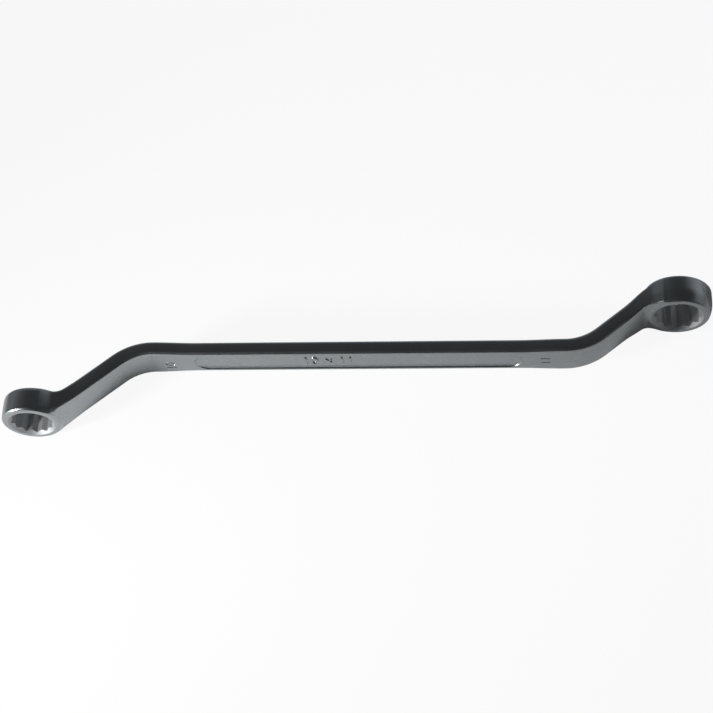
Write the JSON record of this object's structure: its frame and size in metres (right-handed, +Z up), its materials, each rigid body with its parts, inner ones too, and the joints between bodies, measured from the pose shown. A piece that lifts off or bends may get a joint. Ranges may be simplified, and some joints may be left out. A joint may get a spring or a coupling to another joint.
{
  "type": "ring spanner",
  "caption": "Deep-offset ring spanner with a different twelve-point ring head at each end, lying on its side.",
  "frame": {"origin": "on the ground, under the middle of the outline of the spanner as it lies on its side", "axes": "+X along the shank from the smaller ring head to the larger one, -Y towards the smaller head's mouth, +Z up"},
  "size_m": [0.19, 0.039, 0.0182],
  "materials": {
    "shank_chrome": "satin chrome plating over forged steel, with a shallow panel in each wide face",
    "crank_10_chrome": "satin chrome plating over forged steel",
    "crank_11_chrome": "satin chrome plating over forged steel",
    "ring_head_10_chrome": "polished chrome plating outside, plain machined steel in the bore",
    "ring_head_11_chrome": "polished chrome plating outside, plain machined steel in the bore"
  },
  "bodies": {
    "root": {"shank": "shank_chrome", "crank_10": "crank_10_chrome", "crank_11": "crank_11_chrome", "ring_head_10": "ring_head_10_chrome", "ring_head_11": "ring_head_11_chrome"}
  },
  "joints": []
}
